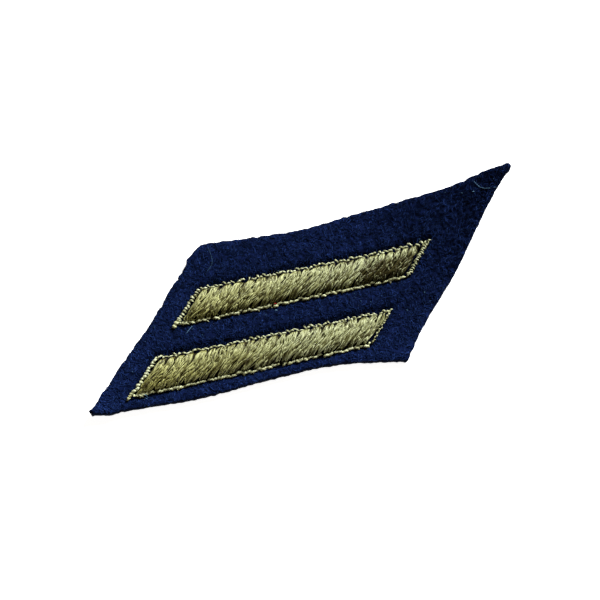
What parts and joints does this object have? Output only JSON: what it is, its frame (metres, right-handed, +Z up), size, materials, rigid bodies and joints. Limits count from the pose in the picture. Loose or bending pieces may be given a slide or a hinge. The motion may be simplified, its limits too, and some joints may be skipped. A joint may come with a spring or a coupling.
{
  "type": "service stripe",
  "caption": "Slanted piece of navy wool felt with padded satin-stitched bars, each outlined in narrow stitching; it lies flat and its long tip curls up.",
  "frame": {"origin": "on the felt's flat back, under the middle of the pair of bars", "axes": "+X along the bars towards the curled tip, +Y across the bars towards the felt's upper cut edge, +Z up, out of the embroidered face"},
  "size_m": [0.062, 0.0226, 0.0076],
  "materials": {
    "navy_felt": "matte, fibrous wool felt",
    "bar_thread": "satin-stitched floss with a soft sheen",
    "outline_thread": "narrow stitching in floss with a soft sheen"
  },
  "bodies": {
    "root": {"felt_ground": "navy_felt", "bar_upper": "bar_thread", "bar_lower": "bar_thread", "outline_upper": "outline_thread", "outline_lower": "outline_thread"}
  },
  "joints": []
}
